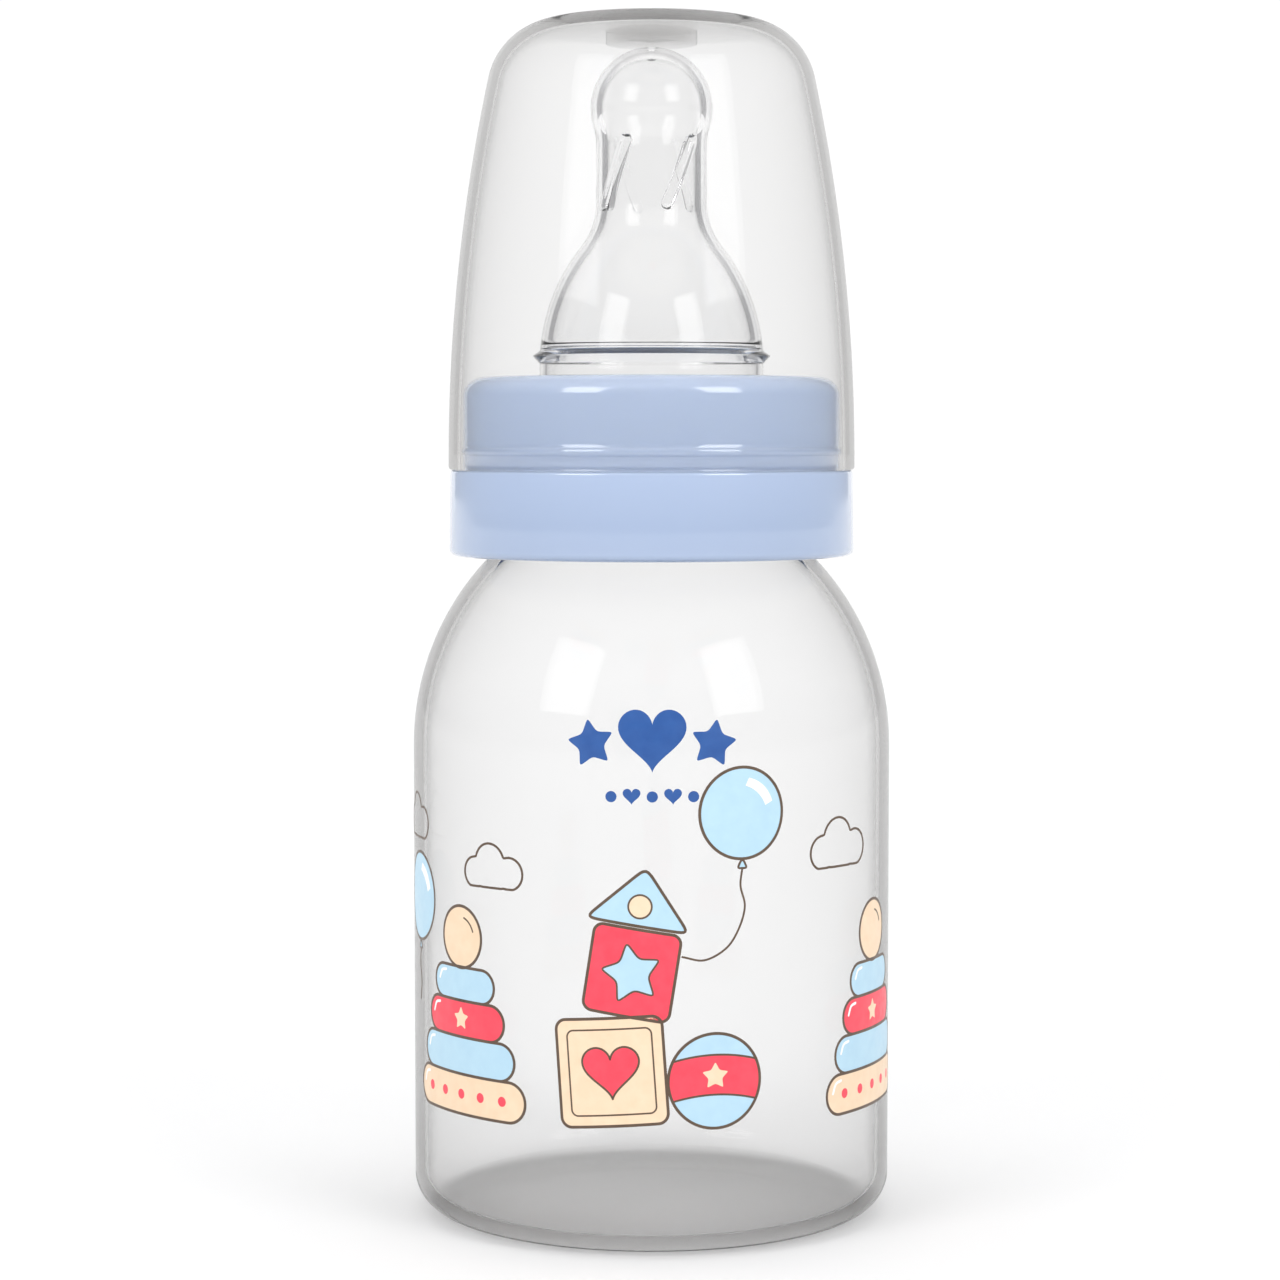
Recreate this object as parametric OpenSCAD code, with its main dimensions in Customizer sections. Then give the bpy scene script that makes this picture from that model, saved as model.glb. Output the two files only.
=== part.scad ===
// Narrow-neck baby bottle: a clear bottle, a silicone teat, a screw ring and a clear hood.
// Millimetres, +Z up. The origin is on the bottle's axis, in the plane that the base stands on.

/* [Bottle] */
// Outside diameter of the body
body_d = 54; // [53:0.5:58]
// Thickness of the body wall
body_wall = 1.45; // [1.2:0.05:1.8]
// Thickness of the floor at its edge
floor_t = 1.7; // [1.5:0.1:2.2]
// Radius of the rounded edge between side and base
base_corner_r = 4.2; // [3.6:0.1:4.8]
// Height where the straight side ends and the shoulder starts
shoulder_z = 52.9; // [50.8:0.1:52.9]
// Radius of the shoulder's arc, tangent to the side
shoulder_r = 30.5; // [30:0.1:31]
// Outside diameter of the neck
neck_d = 36; // [35.6:0.1:36]
// Inside diameter of the neck
neck_bore_d = 32.4; // [31.6:0.2:32.8]
// Height of the neck's rim
rim_z = 90.5; // [90.5:0.1:91.3]

/* [Thread] */
// Rise of the thread in one turn
thread_lead = 5; // [4.8:0.1:5.4]
// Turns of thread on the neck and in the ring
thread_turns = 1.5; // [1.25:0.05:1.5]
// Height of the neck's thread above the neck
neck_thread_h = 1.35; // [1.1:0.05:1.4]
// Height of the ring's thread inside its bore
ring_thread_h = 1.4; // [1.1:0.05:1.5]

/* [Screw ring] */
// Height of the ring from its lower edge to its top
ring_h = 20.1; // [19.8:0.1:20.3]
// Diameter of the ring at its lower edge
ring_d = 45.8; // [45.8:0.1:46.5]
// Diameter of the ring at the ledge that the hood rests on
ledge_d = 45.5; // [45.3:0.1:45.7]
// Height of the lower band, from the lower edge to the ledge
band_h = 9.65; // [9.4:0.05:9.8]
// Diameter of the part that the hood slides over
ring_top_d = 42.6; // [42.4:0.1:42.7]
// Diameter of the threaded bore
ring_bore_d = 40; // [39.8:0.1:40.2]
// Thickness of the top plate
plate_t = 2; // [1.8:0.1:2]
// Diameter of the hole that the teat comes through
ring_hole_d = 25.7; // [25.6:0.1:26]

/* [Teat] */
// Outside diameter of the bulb at the tip
bulb_d = 13.72; // [13.6:0.02:14]
// Outside diameter of the stem below the bulb
stem_d = 12.48; // [12.4:0.02:12.6]
// Outside diameter of the bell where it meets the ring
bell_d = 25.3; // [25.1:0.1:25.4]
// Thickness of the silicone wall
teat_wall = 1.2; // [1.1:0.05:1.3]
// Diameter of the flange that the ring clamps on the rim
flange_d = 35.6; // [35:0.1:36]
// Thickness of the flange
flange_t = 1.85; // [1.6:0.05:2]
// Number of ribs that keep the stem from folding flat
rib_count = 4; // [3:1:5]
// Diameter of the feeding hole
feed_hole_d = 0.5; // [0.4:0.1:0.8]

/* [Hood] */
// Height of the hood from its rim to its crown
hood_h = 50.85; // [50.8:0.05:51.4]
// Outside diameter of the hood's rim
hood_rim_d = 45.9; // [45.8:0.1:46.1]
// Radius of the edge between the hood's side and its crown
hood_corner_r = 8.2; // [7.8:0.1:8.8]
// Thickness of the hood's wall
hood_wall = 1.3; // [1.1:0.05:1.3]
// Diameter of the boss that covers the teat's tip
boss_d = 10.26; // [9.5:0.02:10.6]

/* [Hidden] */
$fn = 144;
// Overlap between shapes that meet edge to edge
join = 0.002;

// Bottle
body_r = body_d / 2;
neck_r = neck_d / 2;
neck_bore_r = neck_bore_d / 2;
// Distance from the axis to the centre of the shoulder's arc
shoulder_x = body_r - shoulder_r;
// Radius of the hollow between shoulder and neck
neck_hollow_r = 1.5;
neck_hollow_x = neck_r + neck_hollow_r;
// Height of the centre of that hollow's arc, which touches the shoulder and the neck
neck_hollow_z = shoulder_z + sqrt(pow(shoulder_r + neck_hollow_r, 2) - pow(neck_hollow_x - shoulder_x, 2));
// Height where the shoulder turns into the hollow
shoulder_top_z = shoulder_z + (neck_hollow_z - shoulder_z) * shoulder_r / (shoulder_r + neck_hollow_r);
// Radius of the rim's rounded edges
rim_edge_r = 0.6;
// The middle of the base stands clear of the ground by this much, in a shallow dome
push_up = 0.6;
push_up_half = body_r - base_corner_r - 3.5;
push_up_r = (push_up * push_up + push_up_half * push_up_half) / (2 * push_up);

// Thread
thread_steps = 36;
thread_foot_w = 2.4;
thread_crest_w = 1;
// Depth by which a thread's foot is buried in the wall
thread_bury = 0.5;
// Middle of the neck's thread at its lower end
neck_thread_z = rim_z - 10.6;
// With the ring tight, its thread lies this much under the neck's thread
thread_drop = 2.1;
// Part of a turn over which each end of a thread fades into the wall
thread_fade = 1 / 12;
// Part of the thread's height that is left at its very end
thread_least = 0.1;

// Screw ring
// Gap between the plate and the teat's flange, so that the two don't overlap
clamp_gap = 0.05;
plate_z = rim_z + flange_t + clamp_gap;
ring_top_z = plate_z + plate_t;
ring_z = ring_top_z - ring_h;
ledge_z = ring_z + band_h;
ring_top_r = ring_top_d / 2;
ring_hole_r = ring_hole_d / 2;
ring_corner_r = 2.2;
ring_foot_r = 0.8;
ledge_edge_r = 0.35;
hole_edge_r = 0.4;
// Bead that the hood slides over
bead_r = 0.7;
bead_proud = 0.2;
bead_z = ledge_z + 2.1;

// Teat
bulb_r = bulb_d / 2;
stem_r = stem_d / 2;
bell_r = bell_d / 2;
bulb_z = rim_z + 34;
// Height where the bell's outline stands upright, and the radius of its arc
bell_z = rim_z + 5.3;
bell_arc_r = 21.1;
bell_arc_x = bell_r - bell_arc_r;
// Hollow arc between bell and stem, with its centre placed so that it touches both
throat_r = 8;
throat_x = stem_r + throat_r;
throat_z = bell_z + sqrt(pow(bell_arc_r + throat_r, 2) - pow(throat_x - bell_arc_x, 2));
// Hollow arc between stem and bulb, with its centre placed so that it touches both
nape_r = 6;
nape_x = stem_r + nape_r;
nape_z = bulb_z - sqrt(pow(bulb_r + nape_r, 2) - pow(nape_x, 2));
// Lip above the ring's plate, which keeps the teat in the ring
lip_proud = 0.75;
lip_low_z = rim_z + 5.4;
lip_tip_z = rim_z + 6.25;
lip_high_z = rim_z + 7.05;
// The skirt that passes through the ring is thinner than the bell
skirt_wall = 0.8;
skirt_top_z = rim_z + 7.5;
// The feeding hole pierces a thin skin at the end of a wider channel
feed_channel_d = 1;
feed_skin = 0.45;
// Air vent through the flange
vent_d = 0.9;
vent_x = 15.2;
// Ribs inside the stem: slanting bars with round ends
rib_w = 1.4;
rib_l = 9.2;
rib_depth = 0.65;
rib_lean = 25;
rib_z = rim_z + 26.6;
// Direction of the first rib's middle, anticlockwise from +X
rib_start = -142;

// Hood
hood_z = ledge_z + 0.01;
hood_top_z = hood_z + hood_h;
hood_rim_r = hood_rim_d / 2;
// Arc of the side, upright just above the rim
hood_side_r = 205;
hood_side_z = hood_z + 0.75;
hood_side_x = hood_rim_r - hood_side_r;
// Arc of the crown
hood_crown_r = 121;
hood_crown_z = hood_top_z - hood_crown_r;
// Gap between the boss and the teat's tip
boss_gap = 0.3;

// Sides for a circle of radius r, so that a long arc is as smooth as a short one
function arc_sides(r) = max(96, 8 * ceil(r));

// Crossing of a circle of radius ra about a and one of radius rb about b, to the right going from a to b
function crossing(a, ra, b, rb) =
    let (
        d = norm(b - a),
        ahead = (b - a) / d,
        right = [ahead[1], -ahead[0]],
        along = (ra * ra - rb * rb + d * d) / (2 * d)
    )
    a + along * ahead + sqrt(ra * ra - along * along) * right;

// Rectangle between two radii and two heights
module block(x0, x1, z0, z1) {
    translate([x0, z0])
        square([x1 - x0, z1 - z0]);
}

// Disc of radius r about [x, z], cut to the rectangle between two radii and two heights
module cut_disc(x, z, r, x0, x1, z0, z1) {
    intersection() {
        translate([x, z])
            circle(r, $fn = arc_sides(r));
        block(x0, x1, z0, z1);
    }
}

// Rectangle out from the axis, less a disc about [x, z]: what a hollow arc leaves beside the axis
module hollow(x, z, r, z0, z1) {
    difference() {
        block(0, x, z0, z1);
        translate([x, z])
            circle(r, $fn = arc_sides(r));
    }
}

// Quarter of a disc about [x, z]: out is 1 or -1 for away from or towards the axis, up is 1 or -1
module quarter(x, z, r, out, up) {
    cut_disc(x, z, r, min(x, x + out * r), max(x, x + out * r), min(z, z + up * r), max(z, z + up * r));
}

// A spiral ridge that rises anticlockwise from height 0. Its foot is at foot_r and its crest at crest_r,
// which is the larger on a neck and the smaller in a bore.
module spiral_ridge(foot_r, crest_r) {
    steps = round(thread_turns * thread_steps);
    fade_steps = thread_fade * thread_steps;
    function section(i) =
        let (
            angle = 360 * i / thread_steps,
            rise = thread_lead * i / thread_steps,
            full = min(1, thread_least + min(i, steps - i) / fade_steps),
            r = foot_r + full * (crest_r - foot_r),
            half_foot = thread_foot_w / 2,
            half_crest = half_foot + full * (thread_crest_w - thread_foot_w) / 2,
            corners = [[foot_r, -half_foot], [r, -half_crest], [r, half_crest], [foot_r, half_foot]]
        )
        [for (c = corners) [c[0] * cos(angle), c[0] * sin(angle), rise + c[1]]];
    function turned(face) = crest_r > foot_r ? face : [face[2], face[1], face[0]];
    sides = [
        for (i = [0:steps - 1], k = [0:3])
            let (a = 4 * i + k, b = 4 * i + (k + 1) % 4)
            each [turned([a, b, a + 4]), turned([b, b + 4, a + 4])]
    ];
    last = 4 * steps;
    ends = [
        turned([0, 2, 1]),
        turned([0, 3, 2]),
        turned([last, last + 1, last + 2]),
        turned([last, last + 2, last + 3])
    ];
    polyhedron(points = [for (i = [0:steps]) each section(i)], faces = concat(sides, ends));
}

// Outline of the bottle from its floor at height low to its shoulder at height high, moved in by inset
module bottle_outline(inset, low, high) {
    corner_x = body_r - base_corner_r;
    corner_r = base_corner_r - inset;
    corner_z = low + corner_r;
    block(0, corner_x, low, corner_z);
    quarter(corner_x, corner_z, corner_r, 1, -1);
    block(0, body_r - inset, corner_z, shoulder_z);
    cut_disc(shoulder_x, shoulder_z, shoulder_r - inset, 0, body_r, shoulder_z, high);
}

module bottle_profile() {
    edge_z = rim_z - rim_edge_r;
    difference() {
        union() {
            bottle_outline(0, 0, shoulder_top_z + join);
            hollow(neck_hollow_x, neck_hollow_z, neck_hollow_r, shoulder_top_z, neck_hollow_z);
            block(0, neck_r, shoulder_z, edge_z);
        }
        bottle_outline(body_wall, floor_t, neck_hollow_z);
        block(0, neck_bore_r, shoulder_z, rim_z);
        translate([0, push_up - push_up_r])
            circle(push_up_r, $fn = arc_sides(push_up_r));
    }
    block(neck_bore_r + rim_edge_r, neck_r - rim_edge_r, edge_z, rim_z);
    quarter(neck_r - rim_edge_r, edge_z, rim_edge_r, 1, 1);
    quarter(neck_bore_r + rim_edge_r, edge_z, rim_edge_r, -1, 1);
}

module bottle() {
    color([0.93, 0.94, 0.95, 0.35])
        union() {
            rotate_extrude()
                bottle_profile();
            translate([0, 0, neck_thread_z])
                spiral_ridge(neck_r - thread_bury, neck_r + neck_thread_h);
        }
}

module screw_ring_profile() {
    foot_x = ring_d / 2 - ring_foot_r;
    foot_z = ring_z + ring_foot_r;
    ledge_x = ledge_d / 2 - ledge_edge_r;
    edge_z = ledge_z - ledge_edge_r;
    corner_x = ring_top_r - ring_corner_r;
    corner_z = ring_top_z - ring_corner_r;
    hole_edge_x = ring_hole_r + hole_edge_r;
    hole_edge_z = ring_top_z - hole_edge_r;
    difference() {
        union() {
            // Lower band
            block(ring_hole_r, foot_x, ring_z, foot_z);
            quarter(foot_x, foot_z, ring_foot_r, 1, -1);
            polygon([[ring_hole_r, foot_z], [ring_d / 2, foot_z], [ledge_d / 2, edge_z], [ring_hole_r, edge_z]]);
            block(ring_hole_r, ledge_x, edge_z, ledge_z);
            quarter(ledge_x, edge_z, ledge_edge_r, 1, 1);
            // Part under the hood, with the bead
            block(ring_hole_r, ring_top_r, ledge_z, corner_z);
            translate([ring_top_r + bead_proud - bead_r, bead_z])
                circle(bead_r);
            // Plate, rounded at its outer edge and at the hole
            block(ring_hole_r, corner_x, corner_z, hole_edge_z);
            block(hole_edge_x, corner_x, hole_edge_z, ring_top_z);
            quarter(corner_x, corner_z, ring_corner_r, 1, 1);
            quarter(hole_edge_x, hole_edge_z, hole_edge_r, -1, 1);
        }
        block(0, ring_bore_d / 2, ring_z - 1, plate_z);
    }
}

module screw_ring() {
    bore_r = ring_bore_d / 2;
    color([0.69, 0.78, 0.92])
        union() {
            rotate_extrude()
                screw_ring_profile();
            translate([0, 0, neck_thread_z - thread_drop])
                spiral_ridge(bore_r + thread_bury, bore_r - ring_thread_h);
        }
}

// Outline of the teat above height low, moved in by inset
module teat_outline(inset, low) {
    // Heights where the bell turns into the throat, and the nape into the bulb
    bell_top_z = bell_z + (throat_z - bell_z) * (bell_arc_r - inset) / (bell_arc_r + throat_r);
    bulb_low_z = bulb_z - (bulb_z - nape_z) * (bulb_r - inset) / (bulb_r + nape_r);
    cut_disc(bell_arc_x, bell_z, bell_arc_r - inset, 0, bell_r, low, bell_top_z + join);
    hollow(throat_x, throat_z, throat_r + inset, bell_top_z, throat_z + join);
    block(0, stem_r - inset, throat_z, nape_z + join);
    hollow(nape_x, nape_z, nape_r + inset, nape_z, bulb_low_z + join);
    cut_disc(0, bulb_z, bulb_r - inset, 0, bulb_r, bulb_low_z, bulb_z + bulb_r);
}

module teat_profile() {
    skirt_r = bell_r - skirt_wall;
    flange_edge_r = flange_t / 2;
    flange_x = flange_d / 2 - flange_edge_r;
    flange_mid_z = rim_z + flange_edge_r;
    difference() {
        union() {
            teat_outline(0, bell_z);
            block(0, bell_r, rim_z, bell_z);
            polygon([
                [0, lip_low_z],
                [bell_r, lip_low_z],
                [bell_r + lip_proud, lip_tip_z],
                [bell_r - lip_proud / 4, lip_high_z],
                [0, lip_high_z]
            ]);
            block(0, flange_x, rim_z, rim_z + flange_t);
            quarter(flange_x, flange_mid_z, flange_edge_r, 1, 1);
            quarter(flange_x, flange_mid_z, flange_edge_r, 1, -1);
        }
        teat_outline(teat_wall, skirt_top_z);
        block(0, skirt_r, rim_z - 1, skirt_top_z);
    }
}

// One slanting bar inside the stem, on its +X side
module stem_rib() {
    bar_l = rib_l - rib_w;
    intersection() {
        translate([0, 0, rib_z - rib_l])
            difference() {
                cylinder(r = stem_r - teat_wall / 2, h = 2 * rib_l);
                translate([0, 0, -1])
                    cylinder(r = stem_r - teat_wall - rib_depth, h = 2 * rib_l + 2);
            }
        translate([0, 0, rib_z])
            rotate([90, 0, 90])
                linear_extrude(stem_d)
                    rotate(-rib_lean) {
                        square([rib_w, bar_l], center = true);
                        translate([0, bar_l / 2])
                            circle(d = rib_w);
                        translate([0, -bar_l / 2])
                            circle(d = rib_w);
                    }
    }
}

module teat() {
    tip_z = bulb_z + bulb_r;
    color([0.96, 0.96, 0.95, 0.45])
        difference() {
            union() {
                rotate_extrude()
                    teat_profile();
                for (i = [0:rib_count - 1])
                    rotate([0, 0, rib_start + 360 * i / rib_count])
                        stem_rib();
            }
            translate([0, 0, bulb_z])
                cylinder(d = feed_channel_d, h = tip_z - feed_skin - bulb_z);
            translate([0, 0, bulb_z])
                cylinder(d = feed_hole_d, h = bulb_r + 1);
            translate([vent_x, 0, rim_z - 1])
                cylinder(d = vent_d, h = flange_t + 2);
        }
}

// Outline of the hood above height low, moved in by inset
module hood_outline(inset, low) {
    corner = crossing(
        [0, hood_crown_z], hood_crown_r - hood_corner_r,
        [hood_side_x, hood_side_z], hood_side_r - hood_corner_r
    );
    // Height where the side turns into the corner, and radius where the corner turns into the crown
    turn_z = hood_side_z + (corner[1] - hood_side_z) * (hood_side_r - inset) / (hood_side_r - hood_corner_r);
    turn_x = corner[0] * (hood_crown_r - inset) / (hood_crown_r - hood_corner_r);
    cut_disc(hood_side_x, hood_side_z, hood_side_r - inset, 0, hood_rim_r, low, turn_z + join);
    cut_disc(corner[0], corner[1], hood_corner_r - inset, turn_x, hood_rim_r, turn_z, hood_top_z);
    cut_disc(0, hood_crown_z, hood_crown_r - inset, 0, turn_x, turn_z, hood_top_z);
}

module hood_profile() {
    difference() {
        hood_outline(0, hood_z);
        hood_outline(hood_wall, hood_z - 1);
    }
    block(0, boss_d / 2, bulb_z + bulb_r + boss_gap, hood_top_z - hood_wall / 2);
}

module hood() {
    color([0.93, 0.94, 0.95, 0.35])
        rotate_extrude()
            hood_profile();
}

bottle();
teat();
screw_ring();
hood();
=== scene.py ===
"""Baby bottle: clear bottle and hood, silicone teat, glossy screw ring and printed toys.

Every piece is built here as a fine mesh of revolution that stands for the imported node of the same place
and size. Shapes are written in millimetres and turned into metres when a mesh is made.
"""
import math

import bmesh
import bpy
import numpy as np
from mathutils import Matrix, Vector


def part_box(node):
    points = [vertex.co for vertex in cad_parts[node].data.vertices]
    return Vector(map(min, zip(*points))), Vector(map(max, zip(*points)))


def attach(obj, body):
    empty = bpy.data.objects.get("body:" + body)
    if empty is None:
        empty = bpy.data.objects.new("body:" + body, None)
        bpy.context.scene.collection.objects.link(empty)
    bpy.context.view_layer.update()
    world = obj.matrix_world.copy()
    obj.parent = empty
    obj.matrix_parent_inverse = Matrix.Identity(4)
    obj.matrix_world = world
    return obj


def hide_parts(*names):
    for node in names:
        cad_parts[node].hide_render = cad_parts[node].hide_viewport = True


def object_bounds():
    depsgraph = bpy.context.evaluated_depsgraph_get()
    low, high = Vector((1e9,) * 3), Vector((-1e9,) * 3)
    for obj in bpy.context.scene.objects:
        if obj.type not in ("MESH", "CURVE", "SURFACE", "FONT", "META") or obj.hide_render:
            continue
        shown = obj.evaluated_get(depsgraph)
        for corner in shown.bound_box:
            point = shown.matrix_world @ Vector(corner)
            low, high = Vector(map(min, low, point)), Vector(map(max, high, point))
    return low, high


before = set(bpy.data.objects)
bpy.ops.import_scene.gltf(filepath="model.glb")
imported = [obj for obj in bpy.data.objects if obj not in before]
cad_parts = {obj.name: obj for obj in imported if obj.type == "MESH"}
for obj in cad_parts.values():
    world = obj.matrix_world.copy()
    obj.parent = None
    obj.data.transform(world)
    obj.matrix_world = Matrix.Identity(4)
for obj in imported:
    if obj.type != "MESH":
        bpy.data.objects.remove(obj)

MM = 0.001
cad_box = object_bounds()


def lowest(node):
    """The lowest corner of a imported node, in millimetres."""
    return Vector(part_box(node)[0]) / MM


def highest(node):
    """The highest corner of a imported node, in millimetres."""
    return Vector(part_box(node)[1]) / MM


# ---------------------------------------------------------------- driving sizes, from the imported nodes

BODY_R = highest("bottle").x
RIM_Z = highest("bottle").z
BODY_WALL = 1.45
FLOOR_T = 1.7
CORNER_R = 4.2
SHOULDER_R = 30.5
SHOULDER_Z = RIM_Z - 37.6
NECK_R = 18.0
NECK_BORE_R = 16.2
NECK_HOLLOW_R = 1.5
RIM_EDGE_R = 0.6
FOOT_W = 3.5
PUSH_UP = 0.6
PUSH_UP_HALF = BODY_R - CORNER_R - FOOT_W
FLOOR_CROWN = 0.12

THREAD_LEAD = 5.0
THREAD_TURNS = 1.5
THREAD_FOOT_W = 2.4
THREAD_CREST_W = 1.0
THREAD_ROW = 0.16
NECK_THREAD_H = 1.35
NECK_THREAD_Z = RIM_Z - 10.6
RING_THREAD_H = 1.4
RING_THREAD_Z = NECK_THREAD_Z - 2.1

RING_R = highest("screw_ring").x
RING_Z = lowest("screw_ring").z
RING_TOP_Z = highest("screw_ring").z
LEDGE_Z = lowest("hood").z - 0.01
LEDGE_R = 22.75
RING_TOP_R = 21.3
RING_BORE_R = 20.0
RING_HOLE_R = 12.85
PLATE_T = 2.0
BEAD_Z = LEDGE_Z + 2.1

FLANGE_R = highest("teat").x
FLANGE_T = 1.85
TIP_Z = highest("teat").z
BULB_R = 6.86
STEM_R = 6.24
BELL_R = 12.65
BELL_ARC_R = 21.1
BELL_Z = RIM_Z + 5.3
THROAT_R = 8.0
NAPE_R = 6.0
TEAT_WALL = 1.2
SKIRT_WALL = 0.8
SKIRT_TOP_Z = RIM_Z + 7.5
LIP_R = BELL_R + 0.75
LIP_Z = RIM_Z + 6.25
FEED_HOLE_R = 0.25
FEED_CHANNEL_R = 0.5
TIP_SKIN = 0.45
RIB_COUNT = 4
RIB_W = 1.4
RIB_L = 9.2
RIB_DEPTH = 0.65
RIB_FLANK_W = 0.18
RIB_LEAN = math.radians(25)
RIB_Z = RIM_Z + 26.6
RIB_START = math.radians(-142)

HOOD_RIM_R = highest("hood").x
HOOD_Z = lowest("hood").z
HOOD_TOP_Z = highest("hood").z
HOOD_WALL = 1.3
HOOD_SIDE_R = 205.0
HOOD_CROWN_R = 121.0
HOOD_CORNER_R = 8.2
HOOD_WIDEST_Z = HOOD_Z + 0.75
BOSS_R = 5.13
BOSS_GAP = 0.3


# ---------------------------------------------------------------- meshes of revolution

def arc(x, z, r, start, end, step=5.0):
    """Points on an arc about (x, z), from angle start to angle end in degrees, both ends included."""
    count = max(2, math.ceil(abs(end - start) / step) + 1)
    angles = np.radians(np.linspace(start, end, count))
    return [(x + r * math.cos(a), z + r * math.sin(a)) for a in angles]


def run(a, b, gap):
    """Points from a to b, at most gap apart, without b."""
    count = max(1, math.ceil(math.dist(a, b) / gap))
    return [tuple(np.array(a) + (np.array(b) - np.array(a)) * i / count) for i in range(count)]


def without_repeats(points, closed):
    """The same outline with coincident neighbours taken out."""
    kept = []
    for p in points:
        if not kept or math.dist(p, kept[-1]) > 1e-4:
            kept.append(p)
    if closed and math.dist(kept[0], kept[-1]) < 1e-4:
        kept.pop()
    return kept


def lathe(name, outline, segments, closed=False, relief=None):
    """A closed mesh of revolution about Z. An open outline starts and ends on the axis.

    relief(angles, r, z) gives how far each point moves out from the axis.
    """
    outline = without_repeats(outline, closed)
    angles = np.linspace(0, 2 * math.pi, segments, endpoint=False)
    rows = outline if closed else outline[1:-1]
    r = np.array([p[0] for p in rows])[:, None]
    z = np.array([p[1] for p in rows])[:, None]
    if relief:
        r = r + relief(angles[None, :], r, z)
    grid = np.stack([r * np.cos(angles), r * np.sin(angles), z + 0 * angles], axis=-1)
    verts = (grid.reshape(-1, 3) * MM).tolist()
    count = len(rows)
    pairs = [(i, (i + 1) % count) for i in range(count if closed else count - 1)]
    faces = []
    for low, high in pairs:
        for j in range(segments):
            k = (j + 1) % segments
            faces.append((low * segments + j, low * segments + k, high * segments + k, high * segments + j))
    if not closed:
        for pole, row in ((outline[0], 0), (outline[-1], count - 1)):
            verts.append((0, 0, pole[1] * MM))
            centre = len(verts) - 1
            for j in range(segments):
                k = (j + 1) % segments
                faces.append((centre, row * segments + j, row * segments + k))
    return mesh_object(name, verts, faces)


def mesh_object(name, verts, faces, sharp_angle=60):
    """A smooth-shaded mesh object with outward normals, in the scene."""
    mesh = bpy.data.meshes.new(name)
    mesh.from_pydata(verts, [], faces)
    bm = bmesh.new()
    bm.from_mesh(mesh)
    bmesh.ops.recalc_face_normals(bm, faces=bm.faces)
    bm.to_mesh(mesh)
    bm.free()
    mesh.shade_smooth()
    mesh.set_sharp_from_angle(angle=math.radians(sharp_angle))
    obj = bpy.data.objects.new(name, mesh)
    bpy.context.scene.collection.objects.link(obj)
    return obj


def smooth_step(x):
    """0 below 0, 1 above 1, and a smooth S between."""
    x = np.clip(x, 0, 1)
    return x * x * (3 - 2 * x)


def spiral(angles, z, start_z):
    """Height from 0 to 1 of a spiral thread at each angle and height, faded out at both ends."""
    half_foot, half_crest = THREAD_FOOT_W / 2, THREAD_CREST_W / 2
    fade = 1 / 12
    best = np.zeros(np.broadcast(angles, z).shape)
    for turn in range(math.ceil(THREAD_TURNS)):
        along = angles / (2 * math.pi) + turn
        off = np.abs(z - start_z - THREAD_LEAD * along)
        flank = smooth_step((half_foot - off) / (half_foot - half_crest))
        ends = smooth_step(along / fade) * smooth_step((THREAD_TURNS - along) / fade)
        best = np.maximum(best, flank * ends)
    return best


# ---------------------------------------------------------------- bottle

def body_profile_r(z):
    """Outside radius of the bottle's body and shoulder at a height."""
    if z <= SHOULDER_Z:
        return BODY_R
    return BODY_R - SHOULDER_R + math.sqrt(SHOULDER_R ** 2 - (z - SHOULDER_Z) ** 2)


def make_bottle():
    shoulder_x = BODY_R - SHOULDER_R
    hollow_x = NECK_R + NECK_HOLLOW_R
    reach = SHOULDER_R + NECK_HOLLOW_R
    hollow_z = SHOULDER_Z + math.sqrt(reach ** 2 - (hollow_x - shoulder_x) ** 2)
    turn = math.degrees(math.asin((hollow_z - SHOULDER_Z) / reach))
    corner_x = BODY_R - CORNER_R
    dome_r = (PUSH_UP ** 2 + PUSH_UP_HALF ** 2) / (2 * PUSH_UP)
    dome_turn = math.degrees(math.asin(PUSH_UP_HALF / dome_r))
    inner_corner = CORNER_R - BODY_WALL
    inner_shoulder = SHOULDER_R - BODY_WALL
    inner_turn = math.degrees(math.acos((NECK_BORE_R - shoulder_x) / inner_shoulder))
    edge_z = RIM_Z - RIM_EDGE_R
    bore_low_z = SHOULDER_Z + inner_shoulder * math.sin(math.radians(inner_turn))
    outline = (
        arc(0, PUSH_UP - dome_r, dome_r, 90, 90 - dome_turn, 0.5)
        + arc(corner_x, CORNER_R, CORNER_R, -90, 0, 4)
        + run((BODY_R, CORNER_R), (BODY_R, SHOULDER_Z), 4)
        + arc(shoulder_x, SHOULDER_Z, SHOULDER_R, 0, turn, 1.5)
        + arc(hollow_x, hollow_z, NECK_HOLLOW_R, 180 + turn, 180, 7)
        + run((NECK_R, hollow_z), (NECK_R, edge_z), THREAD_ROW)
        + arc(NECK_R - RIM_EDGE_R, edge_z, RIM_EDGE_R, 0, 90, 12)
        + arc(NECK_BORE_R + RIM_EDGE_R, edge_z, RIM_EDGE_R, 90, 180, 12)
        + run((NECK_BORE_R, edge_z), (NECK_BORE_R, bore_low_z), 3)
        + arc(shoulder_x, SHOULDER_Z, inner_shoulder, inner_turn, 0, 1.5)
        + run((BODY_R - BODY_WALL, SHOULDER_Z), (BODY_R - BODY_WALL, FLOOR_T + inner_corner), 4)
        + arc(corner_x, FLOOR_T + inner_corner, inner_corner, 0, -90, 5)
        + run((corner_x, FLOOR_T), (0, FLOOR_T + FLOOR_CROWN), 2.5)
        + [(0, FLOOR_T + FLOOR_CROWN)]
    )

    def relief(angles, r, z):
        on_neck = (np.abs(r - NECK_R) < 1e-6) & (z > hollow_z)
        return on_neck * NECK_THREAD_H * spiral(angles, z, NECK_THREAD_Z)

    return lathe("bottle_shell", outline, 288, relief=relief)


# ---------------------------------------------------------------- screw ring

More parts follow.
